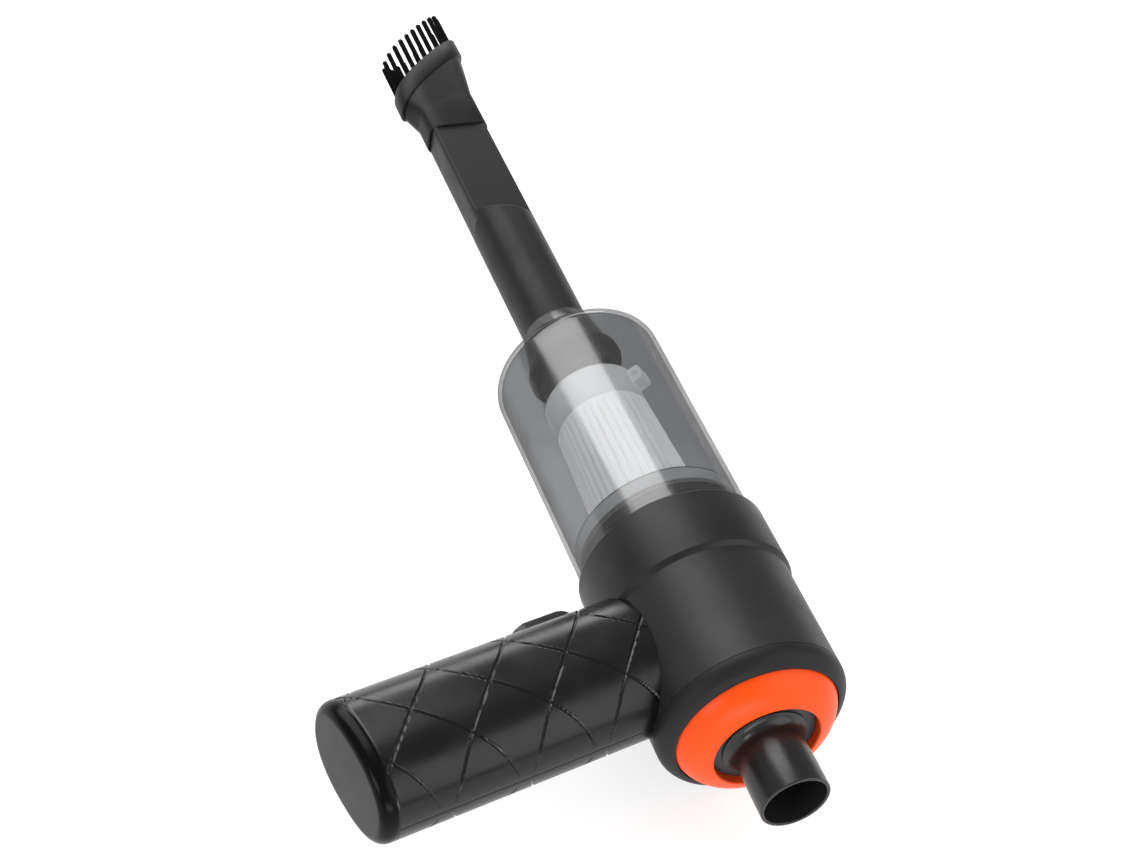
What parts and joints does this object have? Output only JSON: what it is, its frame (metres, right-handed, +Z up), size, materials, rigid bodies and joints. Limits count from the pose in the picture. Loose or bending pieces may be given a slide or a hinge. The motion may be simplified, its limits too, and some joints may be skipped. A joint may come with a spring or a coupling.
{
  "type": "handheld vacuum",
  "caption": "Cordless pistol-grip hand vacuum with a clear dust cup, pleated cone filter, crevice tool with a slanted brush, and a rear blower nozzle.",
  "frame": {"origin": "under the centre of the bounding box, on the surface the vacuum lies on", "axes": "+X forward along the barrel to the brush, +Y out along the handle, +Z up through the left side"},
  "size_m": [0.4432, 0.177, 0.0712],
  "materials": {
    "housing_black": "satin moulded plastic with a fine grain",
    "band_black": "satin moulded plastic with a fine grain",
    "collar_black": "matte moulded plastic",
    "orange": "satin orange plastic",
    "disc_grey": "matte dark grey plastic",
    "nozzle_black": "satin moulded plastic",
    "deck_black": "glossy moulded plastic",
    "rubber_black": "matte rubber",
    "grey_plastic": "moulded plastic",
    "zinc": "pressed zinc-plated steel",
    "screw_steel": "plated steel",
    "magnet": "sintered ferrite",
    "bell_nylon": "natural nylon",
    "bronze": "sintered bronze",
    "carbon": "pressed carbon",
    "terminal_brass": "tinned brass",
    "capacitor_blue": "dipped ceramic",
    "wire_red": "silicone insulation",
    "handle_black": "semi-gloss moulded plastic",
    "board_green": "solder mask",
    "socket_steel": "plated shell",
    "cell_blue": "shrink-wrapped steel can",
    "nickel": "nickel strip",
    "spring_steel": "spring wire",
    "shaft_steel": "ground steel",
    "copper": "enamelled copper on laminations",
    "impeller_white": "glass-filled nylon",
    "button_black": "semi-gloss moulded plastic",
    "plunger_white": "acetal",
    "clear_smoke": "clear smoke-tinted polycarbonate",
    "frame_grey": "light grey plastic",
    "gasket_grey": "soft foam rubber",
    "filter_white": "pleated filter fleece",
    "cap_clear": "frosted clear plastic",
    "tool_black": "satin moulded plastic",
    "bristle_black": "nylon filament"
  },
  "bodies": {
    "housing": {"motor_housing": "housing_black", "front_band": "band_black", "rear_collar": "collar_black", "orange_ring": "orange", "outlet_disc": "disc_grey", "intake_deck": "deck_black", "cup_seal": "rubber_black", "fan_shroud": "grey_plastic", "motor_bracket": "zinc", "fan_screws": "screw_steel", "motor_screws": "screw_steel", "motor_can": "zinc", "motor_magnets": "magnet", "motor_end_bell": "bell_nylon", "front_bush": "bronze", "rear_bush": "bronze", "carbon_brushes": "carbon", "motor_terminals": "terminal_brass", "suppression_capacitor": "capacitor_blue", "rear_damper": "rubber_black", "motor_cradle": "grey_plastic", "motor_leads": "wire_red", "handle_left": "handle_black", "handle_right": "handle_black", "handle_end_cap": "handle_black", "handle_screws": "screw_steel", "control_board": "board_green", "power_switch": "grey_plastic", "charge_socket": "socket_steel", "battery_cell_1": "cell_blue", "battery_cell_2": "cell_blue", "battery_tray": "grey_plastic", "cell_links": "nickel", "battery_leads": "wire_red", "button_spring": "spring_steel"},
    "rotor": {"motor_shaft": "shaft_steel", "armature": "copper", "commutator": "copper", "impeller": "impeller_white", "impeller_nut": "screw_steel"},
    "button": {"power_button": "button_black", "switch_plunger": "plunger_white"},
    "cup": {"dust_cup": "clear_smoke", "inlet_tube": "tool_black"},
    "filter": {"filter_frame": "frame_grey", "filter_gasket": "gasket_grey", "filter_cone": "filter_white", "filter_cap": "cap_clear"},
    "tool": {"crevice_tool": "tool_black"},
    "brush": {"brush_collar": "tool_black", "brush_tufts": "bristle_black"},
    "blower": {"blower_nozzle": "nozzle_black"}
  },
  "joints": [
    {"name": "button_press", "type": "slide", "parent": "housing", "child": "button", "axis": [-0.982, -0.1891, 0], "range_m": [0, 0.0016], "stiffness_N_per_m": 500, "springref_m": -0.002, "deforming": ["button_spring"]},
    {"name": "rotor_spin", "type": "hinge", "parent": "housing", "child": "rotor", "pos_m": [-0.14984, -0.05289, 0.0356], "axis": [1, 0, 0], "continuous": true},
    {"name": "cup_pull", "type": "slide", "parent": "housing", "child": "cup", "axis": [1, 0, 0], "range_m": [0, 0.12]},
    {"name": "filter_twist", "type": "hinge", "parent": "housing", "child": "filter", "pos_m": [-0.10184, -0.05289, 0.0356], "axis": [1, 0, 0], "range_deg": [0, 20]},
    {"name": "tool_pull", "type": "slide", "parent": "cup", "child": "tool", "axis": [1, 0, 0], "range_m": [0, 0.04]},
    {"name": "brush_pull", "type": "slide", "parent": "tool", "child": "brush", "axis": [1, 0, 0], "range_m": [0, 0.05]},
    {"name": "nozzle_pull", "type": "slide", "parent": "housing", "child": "blower", "axis": [-1, 0, 0], "range_m": [0, 0.02]}
  ]
}
